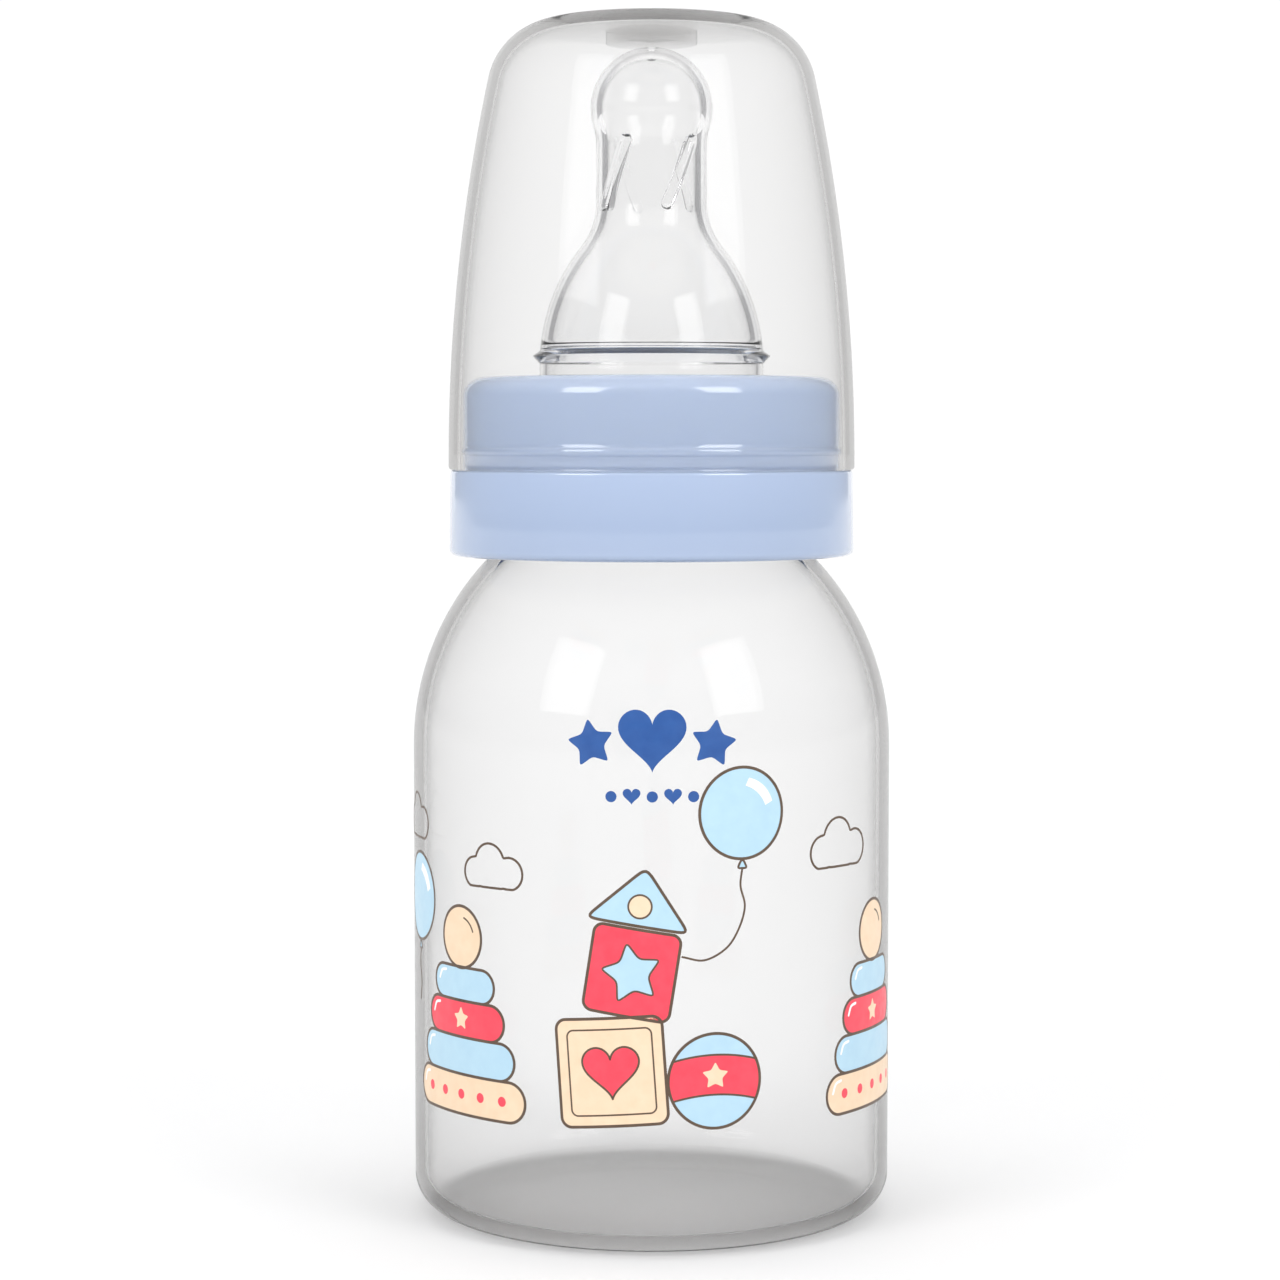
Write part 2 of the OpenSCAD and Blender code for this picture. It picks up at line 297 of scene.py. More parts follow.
def make_ring():
    foot_r, ledge_edge, ledge_fillet, corner = 0.8, 0.35, 0.25, 2.2
    hole_top_edge, hole_low_edge, plate_fillet, mouth_edge = 0.4, 0.2, 0.3, 0.4
    bead_r, bead_proud = 0.7, 0.2
    plate_z = RING_TOP_Z - PLATE_T
    bead_x = RING_TOP_R + bead_proud - bead_r
    bead_turn = math.degrees(math.acos((RING_TOP_R - bead_x) / bead_r))
    outline = (
        arc(RING_R - foot_r, RING_Z + foot_r, foot_r, -90, 0, 9)
        + run((RING_R, RING_Z + foot_r), (LEDGE_R, LEDGE_Z - ledge_edge), 3)
        + arc(LEDGE_R - ledge_edge, LEDGE_Z - ledge_edge, ledge_edge, 0, 90, 12)
        + arc(RING_TOP_R + ledge_fillet, LEDGE_Z + ledge_fillet, ledge_fillet, -90, -180, 18)
        + arc(bead_x, BEAD_Z, bead_r, -bead_turn, bead_turn, 8)
        + run((RING_TOP_R, BEAD_Z + 1), (RING_TOP_R, RING_TOP_Z - corner), 3)
        + arc(RING_TOP_R - corner, RING_TOP_Z - corner, corner, 0, 90, 6)
        + arc(RING_HOLE_R + hole_top_edge, RING_TOP_Z - hole_top_edge, hole_top_edge, 90, 180, 12)
        + arc(RING_HOLE_R + hole_low_edge, plate_z + hole_low_edge, hole_low_edge, 180, 270, 18)
        + arc(RING_BORE_R - plate_fillet, plate_z - plate_fillet, plate_fillet, 90, 0, 18)
        + run((RING_BORE_R, plate_z - plate_fillet), (RING_BORE_R, RING_Z + mouth_edge), THREAD_ROW)
        + arc(RING_BORE_R + mouth_edge, RING_Z + mouth_edge, mouth_edge, 180, 270, 15)
    )

    def relief(angles, r, z):
        in_bore = np.abs(r - RING_BORE_R) < 1e-6
        return -RING_THREAD_H * in_bore * spiral(angles, z, RING_THREAD_Z)

    return lathe("ring_shell", outline, 288, closed=True, relief=relief)


# ---------------------------------------------------------------- teat

def teat_side(inset, top_turn, step):
    """The teat's outline from its bulb down to its bell, moved in by inset."""
    bell_x = BELL_R - BELL_ARC_R
    bulb_z = TIP_Z - BULB_R
    throat_x, nape_x = STEM_R + THROAT_R, STEM_R + NAPE_R
    throat_z = BELL_Z + math.sqrt((BELL_ARC_R + THROAT_R) ** 2 - (throat_x - bell_x) ** 2)
    nape_z = bulb_z - math.sqrt((BULB_R + NAPE_R) ** 2 - nape_x ** 2)
    nape_turn = math.degrees(math.asin((bulb_z - nape_z) / (BULB_R + NAPE_R)))
    bell_turn = math.degrees(math.asin((throat_z - BELL_Z) / (BELL_ARC_R + THROAT_R)))
    low_z = SKIRT_TOP_Z if inset else SKIRT_TOP_Z - 0.4
    bell_end = math.degrees(math.asin((low_z - BELL_Z) / (BELL_ARC_R - inset)))
    return (
        arc(0, bulb_z, BULB_R - inset, top_turn, -nape_turn, step)
        + arc(nape_x, nape_z, NAPE_R + inset, 180 - nape_turn, 180, 2)
        + run((STEM_R - inset, nape_z), (STEM_R - inset, throat_z), 0.09 if inset else 0.6)
        + arc(throat_x, throat_z, THROAT_R + inset, 180, 180 + bell_turn, 0.7 if inset else 2)
        + arc(bell_x, BELL_Z, BELL_ARC_R - inset, bell_turn, bell_end, 1.5)
    )


def rib_height(angles, z):
    """Height from 0 to 1 of the slanting ribs on the stem's inside, at each angle and height."""
    inner_r = STEM_R - TEAT_WALL
    best = np.zeros(np.broadcast(angles, z).shape)
    for i in range(RIB_COUNT):
        centre = RIB_START + 2 * math.pi * i / RIB_COUNT
        turned = np.angle(np.exp(1j * (angles - centre)))
        across, up = inner_r * turned, z - RIB_Z
        along = up * math.cos(RIB_LEAN) + across * math.sin(RIB_LEAN)
        side = across * math.cos(RIB_LEAN) - up * math.sin(RIB_LEAN)
        past = np.maximum(np.abs(along) - (RIB_L - RIB_W) / 2, 0)
        depth = RIB_W / 2 - np.hypot(side, past)
        best = np.maximum(best, smooth_step(depth / RIB_FLANK_W))
    return best


def make_teat():
    lip_edge, flange_fillet, mouth_edge, step_fillet = 0.14, 0.2, 0.3, 0.12
    skirt_in = BELL_R - SKIRT_WALL
    flange_edge = FLANGE_T / 2
    flange_x = FLANGE_R - flange_edge
    flange_top = RIM_Z + FLANGE_T
    inner_bulb_r = BULB_R - TEAT_WALL
    hole_turn = math.degrees(math.acos((FEED_HOLE_R + 0.1) / BULB_R))
    channel_turn = math.degrees(math.acos((FEED_CHANNEL_R + 0.08) / inner_bulb_r))
    channel_low = TIP_Z - BULB_R + math.sqrt(inner_bulb_r ** 2 - FEED_CHANNEL_R ** 2)
    outer = (
        [(FEED_HOLE_R, TIP_Z - 0.06)]
        + teat_side(0, hole_turn, 3)
        + [(BELL_R - 0.02, LIP_Z + 0.65), (BELL_R + 0.2, LIP_Z + 0.4)]
        + arc(LIP_R - lip_edge, LIP_Z, lip_edge, 50, -50, 20)
        + [(BELL_R + 0.12, LIP_Z - 0.7), (BELL_R, LIP_Z - 0.85)]
        + run((BELL_R, LIP_Z - 0.9), (BELL_R, flange_top + 0.25), 1)
        + arc(BELL_R + flange_fillet, flange_top + flange_fillet, flange_fillet, 180, 270, 18)
        + arc(flange_x, RIM_Z + flange_edge, flange_edge, 90, -90, 12)
    )
    inner_side = teat_side(TEAT_WALL, channel_turn, 3)[::-1]
    inner = (
        arc(skirt_in + mouth_edge, RIM_Z + mouth_edge, mouth_edge, 270, 180, 18)
        + run((skirt_in, RIM_Z + mouth_edge), (skirt_in, SKIRT_TOP_Z - step_fillet), 1)
        + arc(skirt_in - step_fillet, SKIRT_TOP_Z - step_fillet, step_fillet, 0, 90, 18)
        + arc(inner_side[0][0] + step_fillet, SKIRT_TOP_Z + step_fillet, step_fillet, 270, 200, 18)
        + inner_side[1:]
        + [(FEED_CHANNEL_R, channel_low + 0.1), (FEED_CHANNEL_R, TIP_Z - TIP_SKIN)]
        + [(FEED_HOLE_R, TIP_Z - TIP_SKIN)]
    )
    inner_r = STEM_R - TEAT_WALL

    def relief(angles, r, z):
        inside = (r < inner_r + 0.6) & (np.abs(z - RIB_Z) < RIB_L)
        inside = inside & (r > FEED_CHANNEL_R + 1)
        return -RIB_DEPTH * inside * rib_height(angles, z)

    return lathe("teat_shell", outer + inner, 512, closed=True, relief=relief)


# ---------------------------------------------------------------- hood

def make_hood():
    rim_edge, boss_fillet, boss_edge = 0.35, 0.3, 0.2
    side_x, side_z = HOOD_RIM_R - HOOD_SIDE_R, HOOD_WIDEST_Z
    crown_z = HOOD_TOP_Z - HOOD_CROWN_R
    reach_side, reach_crown = HOOD_SIDE_R - HOOD_CORNER_R, HOOD_CROWN_R - HOOD_CORNER_R
    span = math.hypot(side_x, side_z - crown_z)
    along = (reach_crown ** 2 - reach_side ** 2 + span ** 2) / (2 * span)
    off = math.sqrt(reach_crown ** 2 - along ** 2)
    ahead = np.array([side_x, side_z - crown_z]) / span
    corner_x, corner_z = np.array([0, crown_z]) + along * ahead + off * np.array([ahead[1], -ahead[0]])
    side_turn = math.degrees(math.asin((corner_z - side_z) / reach_side))
    crown_turn = math.degrees(math.atan2(corner_z - crown_z, corner_x))
    low_turn = math.degrees(math.asin((HOOD_Z + rim_edge - side_z) / HOOD_SIDE_R))
    boss_z = TIP_Z + BOSS_GAP
    inner_crown = HOOD_CROWN_R - HOOD_WALL
    boss_turn = math.degrees(math.acos((BOSS_R + boss_fillet) / inner_crown))
    boss_top = crown_z + inner_crown * math.sin(math.radians(boss_turn))
    rim_x = side_x + HOOD_SIDE_R * math.cos(math.radians(low_turn))
    outline = (
        arc(0, crown_z, HOOD_CROWN_R, 90, crown_turn, 0.5)
        + arc(corner_x, corner_z, HOOD_CORNER_R, crown_turn, side_turn, 3)
        + arc(side_x, side_z, HOOD_SIDE_R, side_turn, low_turn, 0.5)
        + arc(rim_x - rim_edge, HOOD_Z + rim_edge, rim_edge, 0, -90, 15)
        + arc(rim_x - HOOD_WALL + rim_edge, HOOD_Z + rim_edge, rim_edge, 270, 180, 15)
        + arc(side_x, side_z, HOOD_SIDE_R - HOOD_WALL, low_turn, side_turn, 0.5)[1:]
        + arc(corner_x, corner_z, HOOD_CORNER_R - HOOD_WALL, side_turn, crown_turn, 3)
        + arc(0, crown_z, inner_crown, crown_turn, boss_turn, 0.5)
        + arc(BOSS_R + boss_fillet, boss_top - boss_fillet, boss_fillet, 90, 180, 18)
        + arc(BOSS_R - boss_edge, boss_z + boss_edge, boss_edge, 0, -90, 18)
        + run((BOSS_R - boss_edge, boss_z), (0, boss_z), 1.5)
        + [(0, boss_z)]
    )
    return lathe("hood_shell", outline, 288)


# ---------------------------------------------------------------- print, as thin closed patches of ink

# Height of each layer's top above the bottle and depth of its underside below it, in millimetres
INK_TOP = {"fill": 0.010, "mark": 0.016, "line": 0.022, "gleam": 0.028}
INK_SINK = {"fill": 0.030, "mark": 0.024, "line": 0.018, "gleam": 0.012}
COLUMN = 0.8
LINE_W = 0.32


class Ink:
    """Flat shapes of one colour, in millimetres: u to the right round the bottle from its front, v up."""

    def __init__(self, name):
        self.name = name
        self.bm = bmesh.new()

    def fill(self, path, layer="fill"):
        """A filled outline."""
        flat = bmesh.new()
        flat.faces.new([flat.verts.new((u, v, 0)) for u, v in path])
        bmesh.ops.triangulate(flat, faces=flat.faces[:])
        self._solid(flat, layer)

    def stroke(self, path, width=LINE_W, closed=False, layer="line"):
        """A line of even width along a path, with round ends if it is open."""
        flat = bmesh.new()
        pts = np.array(path)
        if closed:
            ahead = np.roll(pts, -1, 0) - np.roll(pts, 1, 0)
        else:
            ahead = np.gradient(pts, axis=0)
        ahead = ahead / np.linalg.norm(ahead, axis=1)[:, None]
        normal = np.stack([-ahead[:, 1], ahead[:, 0]], 1) * width / 2
        left = [flat.verts.new((*p, 0)) for p in pts + normal]
        right = [flat.verts.new((*p, 0)) for p in pts - normal]
        count = len(pts)
        for i in range(count if closed else count - 1):
            k = (i + 1) % count
            flat.faces.new((left[i], right[i], right[k], left[k]))
        if not closed:
            for end, sign in ((0, -1), (count - 1, 1)):
                cap = []
                for a in np.linspace(-math.pi / 2, math.pi / 2, 7)[1:-1]:
                    p = pts[end] + sign * (ahead[end] * math.cos(a) * width / 2) + normal[end] * math.sin(a)
                    cap.append(flat.verts.new((*p, 0)))
                flat.faces.new([right[end]] + cap + [left[end]])
        self._solid(flat, layer)

    def _solid(self, flat, layer):
        """Cuts the flat shape into columns, so that it can follow the curve, and gives it its thickness."""
        us = [v.co.x for v in flat.verts]
        for k in range(math.ceil(min(us) / COLUMN), math.floor(max(us) / COLUMN) + 1):
            bmesh.ops.bisect_plane(
                flat, geom=flat.verts[:] + flat.edges[:] + flat.faces[:], dist=1e-5,
                plane_co=(k * COLUMN, 0, 0), plane_no=(1, 0, 0))
        vs = [v.co.y for v in flat.verts]
        for k in range(math.ceil(max(min(vs), SHOULDER_Z) / COLUMN), math.floor(max(vs) / COLUMN) + 1):
            bmesh.ops.bisect_plane(
                flat, geom=flat.verts[:] + flat.edges[:] + flat.faces[:], dist=1e-5,
                plane_co=(0, k * COLUMN, 0), plane_no=(0, 1, 0))
        for v in flat.verts:
            v.co.z = -INK_SINK[layer]
        made = bmesh.ops.extrude_face_region(flat, geom=flat.faces[:])
        for item in made["geom"]:
            if isinstance(item, bmesh.types.BMVert):
                item.co.z = INK_TOP[layer]
        mesh = bpy.data.meshes.new("part")
        flat.to_mesh(mesh)
        flat.free()
        self.bm.from_mesh(mesh)
        bpy.data.meshes.remove(mesh)

    def finish(self, material):
        """Wraps the shapes round the bottle and makes the piece."""
        for v in self.bm.verts:
            r = body_profile_r(v.co.y) + v.co.z
            turn = v.co.x / BODY_R
            v.co = Vector((r * math.sin(turn), -r * math.cos(turn), v.co.y)) * MM
        bmesh.ops.recalc_face_normals(self.bm, faces=self.bm.faces)
        mesh = bpy.data.meshes.new(self.name)
        self.bm.to_mesh(mesh)
        self.bm.free()
        mesh.shade_smooth()
        mesh.set_sharp_from_angle(angle=math.radians(30))
        mesh.materials.append(material)
        obj = bpy.data.objects.new(self.name, mesh)
        bpy.context.scene.collection.objects.link(obj)
        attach(obj, "bottle")


def ellipse(u, v, ru, rv, start=0, end=360, count=72):
    """Points on an ellipse. A whole one leaves out its repeated last point."""
    angles = np.radians(np.linspace(start, end, count, endpoint=abs(end - start) < 360))
    return [(u + ru * math.cos(a), v + rv * math.sin(a)) for a in angles]


def rounded_box(u, v, w, h, r, tilt=0.0):
    """A rectangle with round corners about (u, v), turned by tilt degrees."""
    r = min(r, w / 2 - 0.01, h / 2 - 0.01)
    points = []
    for cu, cv, start in ((1, 1, 0), (-1, 1, 90), (-1, -1, 180), (1, -1, 270)):
        points += ellipse(cu * (w / 2 - r), cv * (h / 2 - r), r, r, start, start + 90, 10)
    return moved(resampled(points, 0.4, closed=True), u, v, tilt)


def moved(points, u, v, tilt=0.0, size=1.0):
    """Points scaled about the origin, turned by tilt degrees and moved by (u, v)."""
    c, s = math.cos(math.radians(tilt)) * size, math.sin(math.radians(tilt)) * size
    return [(u + c * x - s * y, v + s * x + c * y) for x, y in points]


def resampled(points, gap, closed):
    """The same line with its long stretches cut so that no two neighbours are further than gap apart."""
    ends = points[1:] + points[:1] if closed else points[1:]
    dense = []
    for a, b in zip(points, ends):
        if math.dist(a, b) > 1e-5:
            dense += run(a, b, gap)
    return dense if closed else dense + [points[-1]]


def star(u, v, r, tilt=0.0):
    """A five-pointed star with blunt points."""
    corners = [
        ((r if k % 2 == 0 else r * 0.52) * math.sin(math.pi * k / 5),
         (r if k % 2 == 0 else r * 0.52) * math.cos(math.pi * k / 5))
        for k in range(10)
    ]
    return moved(softened(resampled(corners, r / 12, closed=True), 3), u, v, tilt)


def softened(points, passes):
    """A closed line with its corners rounded by averaging each point with its neighbours."""
    pts = np.array(points)
    for _ in range(passes):
        pts = (np.roll(pts, 1, 0) + 2 * pts + np.roll(pts, -1, 0)) / 4
    return [tuple(p) for p in pts]


def heart(u, v, w, tilt=0.0):
    """A heart of width w, about its middle."""
    points = []
    for t in np.linspace(0, 2 * math.pi, 72, endpoint=False):
        x = 16 * math.sin(t) ** 3
        y = 13 * math.cos(t) - 5 * math.cos(2 * t) - 2 * math.cos(3 * t) - math.cos(4 * t)
        points.append((x * w / 32, (y + 2.5) * w / 32))
    return moved(softened(points, 1), u, v, tilt)


def cloud(u, v, w):
    """A cloud of width w: the outline of a low slab with three round heads on it."""
    heads = ((-0.30, -0.04, 0.20), (-0.04, 0.10, 0.25), (0.29, -0.02, 0.21), (0.0, -0.10, 0.22))
    points = []
    for a in np.linspace(0, 2 * math.pi, 120, endpoint=False):
        ray = np.array([math.cos(a), math.sin(a)])
        reach = 0
        for x, y, r in heads:
            near = ray @ (x, y)
            under = near ** 2 - (x * x + y * y - r * r)
            if under >= 0:
                reach = max(reach, near + math.sqrt(under))
        x, y = reach * ray
        points.append((x * w, max(y, -0.22) * w))
    return moved(softened(resampled(points, w / 60, closed=True), 2), u, v)


def outlined(inks, colour, path, width=LINE_W):
    """A shape filled in one colour with a brown line round it."""
    inks[colour].fill(path)
    inks["brown"].stroke(path, width, closed=True)


def balloon(inks, u, v, ru, rv, string):
    """A light blue balloon with a knot, a gleam and a string that runs along the given points."""
    outlined(inks, "light_blue", ellipse(u, v, ru, rv))
    low, high = v - rv - 1.0, v - rv - 0.1
    knot = [(u - 0.55, low), (u + 0.55, low), (u + 0.12, high), (u - 0.12, high)]
    outlined(inks, "light_blue", softened(resampled(knot, 0.2, closed=True), 2), 0.24)
    outer = ellipse(u, v, ru * 0.78, rv * 0.78, 18, 78, 18)
    inner = ellipse(u - 0.12 * ru, v - 0.12 * rv, ru * 0.74, rv * 0.74, 78, 18, 18)
    inks["white"].fill(outer + inner[1:-1], "gleam")
    inks["brown"].stroke(curve(string), 0.22)


def curve(points, steps=14):
    """A smooth line through the given points."""
    pts = [np.array(p, float) for p in points]
    pts = [2 * pts[0] - pts[1]] + pts + [2 * pts[-1] - pts[-2]]
    line = []
    for a, b, c, d in zip(pts, pts[1:], pts[2:], pts[3:]):
        for t in np.linspace(0, 1, steps, endpoint=False):
            line.append(tuple(0.5 * (2 * b + (c - a) * t + (2 * a - 5 * b + 4 * c - d) * t ** 2
                                     + (3 * b - a - 3 * c + d) * t ** 3)))
    return line + [tuple(pts[-2])]


def ring_tower(inks, u, v):
    """A toy tower of stacked rings with a ball on top, standing at (u, v)."""
    rings = (("tan", 19.0, 4.4), ("light_blue", 16.2, 4.1), ("red", 13.4, 4.0), ("light_blue", 10.6, 3.7))
    low = v
    for colour, w, h in rings:
        outlined(inks, colour, rounded_box(u, low + h / 2, w, h, h / 2))
        inks["white"].stroke(
            curve([(u - w / 2 + 1.0, low + h * 0.55), (u - w / 2 + 1.5, low + h * 0.78),
                   (u - w / 2 + 2.4, low + h * 0.84)]), 0.3, layer="gleam")
        low += h
    outlined(inks, "tan", ellipse(u, low + 3.3, 3.4, 3.4))
    inks["brown"].stroke(ellipse(u, low + 3.3, 2.2, 2.2, 20, 75, 12), 0.2)
    for k in range(5):
        inks["red"].fill(ellipse(u - 6.4 + 3.2 * k, v + 2.2, 0.55, 0.55, count=24), "mark")
    inks["tan"].fill(star(u, v + 10.5, 1.35), "mark")


def toy_pile(inks, u, v):
    """Two toy blocks, a toy roof and a ball in a heap that stands at (u, v)."""
    block = rounded_box(u - 4.6, v + 6.2, 11.6, 11.6, 1.1, 4)
    outlined(inks, "tan", block)
    inks["brown"].stroke(rounded_box(u - 4.6, v + 6.2, 9.2, 9.2, 0.7, 4), 0.18, closed=True)
    inks["red"].fill(heart(u - 4.6, v + 6.1, 6.2, 4), "mark")
    inks["brown"].stroke(heart(u - 4.6, v + 6.1, 6.2, 4), 0.22, closed=True)
    upper = rounded_box(u - 2.4, v + 16.9, 9.4, 9.4, 1.0, -9)
    outlined(inks, "red", upper)
    inks["light_blue"].fill(star(u - 2.4, v + 16.8, 3.4, 9), "mark")
    inks["brown"].stroke(star(u - 2.4, v + 16.8, 3.4, 9), 0.2, closed=True)
    roof = [(-5.6, -2.7), (5.6, -2.7), (0, 3.6)]
    roof = moved(softened(resampled(roof, 0.4, closed=True), 6), u - 1.4, v + 24.6, -9)
    outlined(inks, "light_blue", roof)
    inks["tan"].fill(ellipse(u - 1.5, v + 24.0, 1.25, 1.25, count=36), "mark")
    inks["brown"].stroke(ellipse(u - 1.5, v + 24.0, 1.25, 1.25, count=36), 0.2, closed=True)
    ball(inks, u + 6.6, v + 5.2, 5.1)


def ball(inks, u, v, r):
    """A toy ball with a red belt between two blue caps."""
    def belt_edge(level, start, end, count):
        """One edge of the belt, crowned as on a ball that is seen from a little above."""
        across = np.linspace(start, end, count)
        return [(u + x * r, v + level * r + 0.13 * r * (1 - (x / 0.9) ** 2)) for x in across]

    outlined(inks, "light_blue", ellipse(u, v, r, r))
    belt = ellipse(u, v, r * 0.97, r * 0.97, 24, -24, 14)
    belt += belt_edge(-0.42, 0.85, -0.85, 22)
    belt += ellipse(u, v, r * 0.97, r * 0.97, 204, 156, 14)
    belt += belt_edge(0.42, -0.85, 0.85, 22)
    inks["red"].fill(without_repeats(belt, True), "mark")
    for level in (0.42, -0.42):
        inks["brown"].stroke(belt_edge(level, -0.9, 0.9, 24), 0.22)
    inks["tan"].fill(star(u, v + 0.1 * r, 0.3 * r), "gleam")


def make_print():
    """The whole print: a small blue mark, a pile of toys with a balloon, two ring towers and clouds."""
    inks = {c: Ink("ink_" + c) for c in ("light_blue", "red", "tan", "brown", "navy", "white")}
    mark_v = 55.6
    inks["navy"].fill(heart(0, mark_v, 7.4))
    for side in (-1, 1):
        inks["navy"].fill(star(side * 6.6, mark_v - 0.3, 2.7, -10 * side))
        inks["navy"].fill(heart(side * 2.2, mark_v - 5.9, 1.9))
    for place_u in (-4.4, 0, 4.4):
        inks["navy"].fill(ellipse(place_u, mark_v - 5.9, 0.6, 0.6, count=24))
    toy_pile(inks, 0.2, 14.0)
    balloon(inks, 9.8, 47.8, 4.75, 4.9,
            [(9.8, 41.9), (9.6, 40.0), (10.1, 37.8), (9.4, 35.4), (8.0, 33.4), (5.6, 32.2), (3.2, 32.6)])
    ring_tower(inks, -23.8, 13.8)
    ring_tower(inks, 30.6, 13.8)
    balloon(inks, -34.2, 36.6, 4.75, 4.9, [(-34.2, 30.7), (-34.4, 29.0), (-33.9, 27.0), (-34.3, 25.0)])
    for u, v, w in ((-18.8, 41.0, 8.4), (23.2, 43.2, 9.4), (-35.6, 45.0, 8.6)):
        inks["brown"].stroke(cloud(u, v, w), 0.26, closed=True)
    return inks


# ---------------------------------------------------------------- materials

def linear(red, green, blue):
    """A colour given in screen values from 0 to 255, as the shader takes it."""
    def one(c):
        c /= 255
        return c / 12.92 if c <= 0.04045 else ((c + 0.055) / 1.055) ** 2.4
    return (one(red), one(green), one(blue), 1.0)


class Look:
    """A material with one Principled shader, and short ways to add procedural detail."""

    def __init__(self, name):
        self.material = bpy.data.materials.new(name)
        self.material.use_nodes = True
        self.tree = self.material.node_tree
        self.shader = self.tree.nodes["Principled BSDF"]
        self.coords = self.tree.nodes.new("ShaderNodeTexCoord")

    def set(self, **values):
        """Sets shader sockets; an underscore stands for a space."""
        for name, value in values.items():
            self.shader.inputs[name.replace("_", " ")].default_value = value

    def noise(self, scale, detail=3.0, stretch=(1, 1, 1)):
        """A noise value over the surface, with features about 1/scale metres across."""
        mapping = self.tree.nodes.new("ShaderNodeMapping")
        mapping.inputs["Scale"].default_value = stretch
        texture = self.tree.nodes.new("ShaderNodeTexNoise")
        texture.inputs["Scale"].default_value = scale
        texture.inputs["Detail"].default_value = detail
        self.tree.links.new(self.coords.outputs["Object"], mapping.inputs["Vector"])
        self.tree.links.new(mapping.outputs["Vector"], texture.inputs["Vector"])
        return texture.outputs["Fac"]

    def spread(self, value, low, high, start=0.3, end=0.7):
        """The value stretched so that start gives low and end gives high."""
        node = self.tree.nodes.new("ShaderNodeMapRange")
        node.inputs["From Min"].default_value = start
        node.inputs["From Max"].default_value = end
        node.inputs["To Min"].default_value = low
        node.inputs["To Max"].default_value = high
        self.tree.links.new(value, node.inputs["Value"])
        return node.outputs["Result"]

    def rough(self, value, low, high):
        """Roughness that varies between two values."""
        self.tree.links.new(self.spread(value, low, high), self.shader.inputs["Roughness"])

    def bump(self, value, depth, strength=1.0):
        """Relief of the given depth in metres."""
        node = self.tree.nodes.new("ShaderNodeBump")
        node.inputs["Distance"].default_value = depth
        node.inputs["Strength"].default_value = strength
        self.tree.links.new(value, node.inputs["Height"])
        self.tree.links.new(node.outputs["Normal"], self.shader.inputs["Normal"])

    def tint(self, value, one, other, start=0.3, end=0.7):
        """Base colour that varies between two colours."""
        node = self.tree.nodes.new("ShaderNodeMix")
        node.data_type = "RGBA"
        node.inputs["A"].default_value = one
        node.inputs["B"].default_value = other
        self.tree.links.new(self.spread(value, 0, 1, start, end), node.inputs["Factor"])
        self.tree.links.new(node.outputs["Result"], self.shader.inputs["Base Color"])

    def height(self):
        """Height above the base, in metres."""
        node = self.tree.nodes.new("ShaderNodeSeparateXYZ")
        self.tree.links.new(self.coords.outputs["Object"], node.inputs["Vector"])
        return node.outputs["Z"]

    def edge(self, grey, start):
        """Painted shade: a base colour that is white where the surface is seen square on and grey where it
        is seen along, in place of the darker edges that clear walls show.
        """
        node = self.tree.nodes.new("ShaderNodeLayerWeight")
        self.tint(node.outputs["Facing"], (1, 1, 1, 1), (grey, grey, grey, 1), start, 1)

    def absorb(self, colour, density):
        """What the solid takes out of light that passes through it."""
        node = self.tree.nodes.new("ShaderNodeVolumeAbsorption")
        node.inputs["Color"].default_value = colour
        node.inputs["Density"].default_value = density
        out = self.tree.nodes["Material Output"]
        self.tree.links.new(node.outputs["Volume"], out.inputs["Volume"])


def clear_plastic(name):
    """Clear plastic that light passes almost straight through, and that takes a little of it out."""
    look = Look(name)
    # Painted shade: the clear walls are tinted grey where they are seen along, so their edges look darker.
    look.edge(0.66, 0.70)
    look.set(Transmission_Weight=1.0, IOR=1.015, Coat_Weight=0.3, Coat_Roughness=0.04)
    look.rough(look.noise(90, 4), 0.02, 0.05)
    look.bump(look.noise(45, 2, (1, 1, 0.35)), 0.00003, 0.5)
    look.absorb((0.60, 0.595, 0.59, 1), 110)
    return look.material


def clear_silicone():
    """Clear soft silicone, which bends light, so that its walls and ribs show."""
    look = Look("silicone_clear")
    look.set(Base_Color=(1, 1, 1, 1), Transmission_Weight=1.0, IOR=1.35, Specular_IOR_Level=0.2)
    look.rough(look.noise(160, 4), 0.02, 0.05)
    look.bump(look.noise(120, 3), 0.00002, 0.4)
    look.absorb((0.60, 0.60, 0.60, 1), 50)
    return look.material


def ring_plastic():
    """Glossy light blue plastic, with painted shade towards the ring's foot and painted light towards its
    top, set against the light the pale floor throws on the foot and the shade the hood casts on the top.
    """
    look = Look("ring_blue_plastic")
    # Painted shade at the ring's foot and painted light at its top: the colour grows paler with height.
    look.tint(look.height(), linear(156, 174, 204), linear(191, 208, 237), RING_Z * MM, RING_TOP_Z * MM)
    look.set(IOR=1.49, Coat_Weight=0.85, Coat_Roughness=0.06, Coat_IOR=1.8)
    look.set(Subsurface_Weight=0.12, Subsurface_Scale=0.002, Subsurface_Radius=(1.0, 1.0, 1.2))
    look.rough(look.noise(220, 5), 0.12, 0.20)
    look.bump(look.noise(600, 4), 0.000012, 0.5)
    return look.material


def ink_material(name, one, other):
    """Half-glossy ink whose colour varies slightly between two screen colours."""
    look = Look(name)
    look.tint(look.noise(700, 4), linear(*one), linear(*other))
    look.set(IOR=1.5)
    look.rough(look.noise(900, 3), 0.3, 0.45)
    look.bump(look.noise(2500, 3), 0.000006, 0.5)
    return look.material


INK_COLOURS = {
    "light_blue": ((180, 215, 235), (186, 220, 238)),
    "red": ((249, 66, 86), (253, 76, 95)),
    "tan": ((243, 213, 180), (247, 220, 189)),
    "brown": ((88, 70, 55), (98, 79, 63)),
    "navy": ((34, 82, 152), (42, 90, 160)),
    "white": ((250, 250, 250), (255, 255, 255)),
}


# ---------------------------------------------------------------- pieces

def place(piece, node, body, material):
    """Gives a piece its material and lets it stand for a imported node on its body."""
    piece.data.materials.append(material)
    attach(piece, body)
    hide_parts(node)


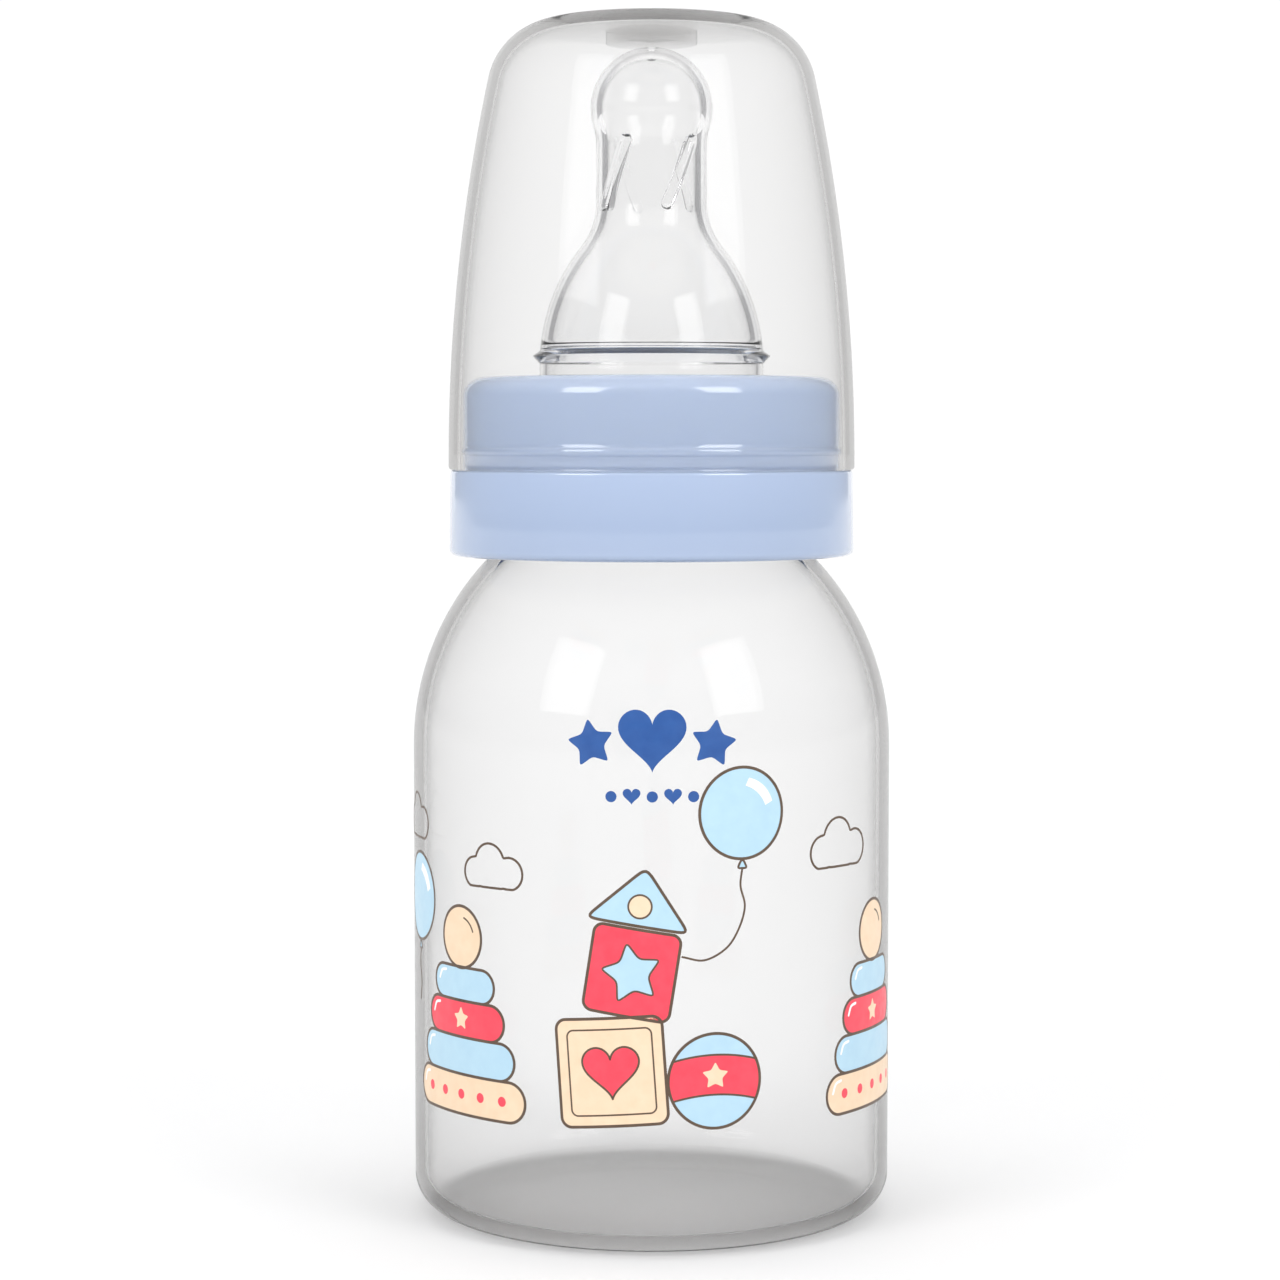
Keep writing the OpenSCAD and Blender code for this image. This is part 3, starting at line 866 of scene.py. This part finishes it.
place(make_bottle(), "bottle", "bottle", clear_plastic("bottle_clear_plastic"))
place(make_teat(), "teat", "teat", clear_silicone())
place(make_ring(), "screw_ring", "ring", ring_plastic())
place(make_hood(), "hood", "hood", clear_plastic("hood_clear_plastic"))
for colour, ink in make_print().items():
    ink.finish(ink_material("ink_" + colour, *INK_COLOURS[colour]))


# ---------------------------------------------------------------- stage, light and camera

FLOOR_HALF = 6.0
FLOOR_GAP = 0.00005
FLOOR_SHADE_NEAR, FLOOR_SHADE_FAR = 0.1, 0.8
SOFTBOX_SIDE, SOFTBOX_BACK, SOFTBOX_UP = 0.495, -0.513, 0.448
SOFTBOX_W, SOFTBOX_H, SOFTBOX_WATTS = 0.34, 0.42, 1.6
CAMERA_PLACE = (-0.0013, -0.375, 0.08835)
CAMERA_DOWN = math.radians(3.62)
CAMERA_LENS = 93.02


def make_floor():
    """A pale floor, large enough to run past the picture, with painted shade: darker near the bottle and
    paler further off.
    """
    corners = [(x * FLOOR_HALF, y * FLOOR_HALF, 0) for x, y in ((-1, -1), (1, -1), (1, 1), (-1, 1))]
    mesh = bpy.data.meshes.new("floor")
    mesh.from_pydata(corners, [], [(0, 1, 2, 3)])
    obj = bpy.data.objects.new("floor", mesh)
    obj.location.z = cad_box[0].z - FLOOR_GAP
    bpy.context.scene.collection.objects.link(obj)
    look = Look("floor_paper")
    reach = look.tree.nodes.new("ShaderNodeVectorMath")
    reach.operation = "LENGTH"
    look.tree.links.new(look.coords.outputs["Object"], reach.inputs[0])
    # Painted shade: the floor is darker within reach of the bottle and paler far off.
    look.tint(reach.outputs["Value"], (0.84, 0.84, 0.84, 1), (0.97, 0.97, 0.97, 1), FLOOR_SHADE_NEAR, FLOOR_SHADE_FAR)
    look.set(Specular_IOR_Level=0.2)
    look.rough(look.noise(3, 2), 0.85, 0.95)
    obj.data.materials.append(look.material)


def softbox(name, side):
    """A rectangular light above the bottle, in front and to one side, that faces the middle of the ring."""
    light = bpy.data.lights.new(name, "AREA")
    light.shape = "RECTANGLE"
    light.size, light.size_y, light.energy = SOFTBOX_W, SOFTBOX_H, SOFTBOX_WATTS
    obj = bpy.data.objects.new(name, light)
    aim = Vector((0, 0, LEDGE_Z * MM))
    obj.location = Vector((side * SOFTBOX_SIDE, SOFTBOX_BACK, SOFTBOX_UP))
    obj.rotation_euler = (aim - obj.location).to_track_quat("-Z", "Y").to_euler()
    bpy.context.scene.collection.objects.link(obj)


def make_world():
    """A pale room that is brightest overhead, with a round white backdrop behind the bottle."""
    world = bpy.data.worlds.new("studio")
    bpy.context.scene.world = world
    world.use_nodes = True
    tree = world.node_tree
    coords = tree.nodes.new("ShaderNodeTexCoord")
    split = tree.nodes.new("ShaderNodeSeparateXYZ")
    tree.links.new(coords.outputs["Generated"], split.inputs["Vector"])

    def blend(value, low, high, one, other):
        """Goes from one colour to the other as the value goes from low to high."""
        share = tree.nodes.new("ShaderNodeMapRange")
        share.interpolation_type = "SMOOTHSTEP"
        share.inputs["From Min"].default_value = low
        share.inputs["From Max"].default_value = high
        tree.links.new(value, share.inputs["Value"])
        mix = tree.nodes.new("ShaderNodeMix")
        mix.data_type = "RGBA"
        tree.links.new(share.outputs["Result"], mix.inputs["Factor"])
        for socket, colour in (("A", one), ("B", other)):
            if isinstance(colour, tuple):
                mix.inputs[socket].default_value = colour
            else:
                tree.links.new(colour, mix.inputs[socket])
        return mix.outputs["Result"]

    room = blend(split.outputs["Z"], 0.15, 0.95, (0.45, 0.45, 0.46, 1), (1.38, 1.38, 1.38, 1))
    room = blend(split.outputs["Y"], 0.86, 0.89, room, (1.04, 1.04, 1.04, 1))
    tree.links.new(room, tree.nodes["Background"].inputs["Color"])


def make_camera():
    """The picture's view: nearly level, a little above the ring's top."""
    camera = bpy.data.cameras.new("camera")
    camera.sensor_width = 36
    camera.lens = CAMERA_LENS
    camera.clip_start = 0.01
    obj = bpy.data.objects.new("camera", camera)
    obj.location = CAMERA_PLACE
    obj.rotation_euler = (math.pi / 2 - CAMERA_DOWN, 0, 0)
    bpy.context.scene.collection.objects.link(obj)
    bpy.context.scene.camera = obj


make_floor()
softbox("softbox_left", -1)
softbox("softbox_right", 1)
make_world()
make_camera()

scene = bpy.context.scene
scene.view_settings.view_transform = "Standard"
scene.cycles.max_bounces = 32
scene.cycles.transmission_bounces = 32
scene.cycles.transparent_max_bounces = 16
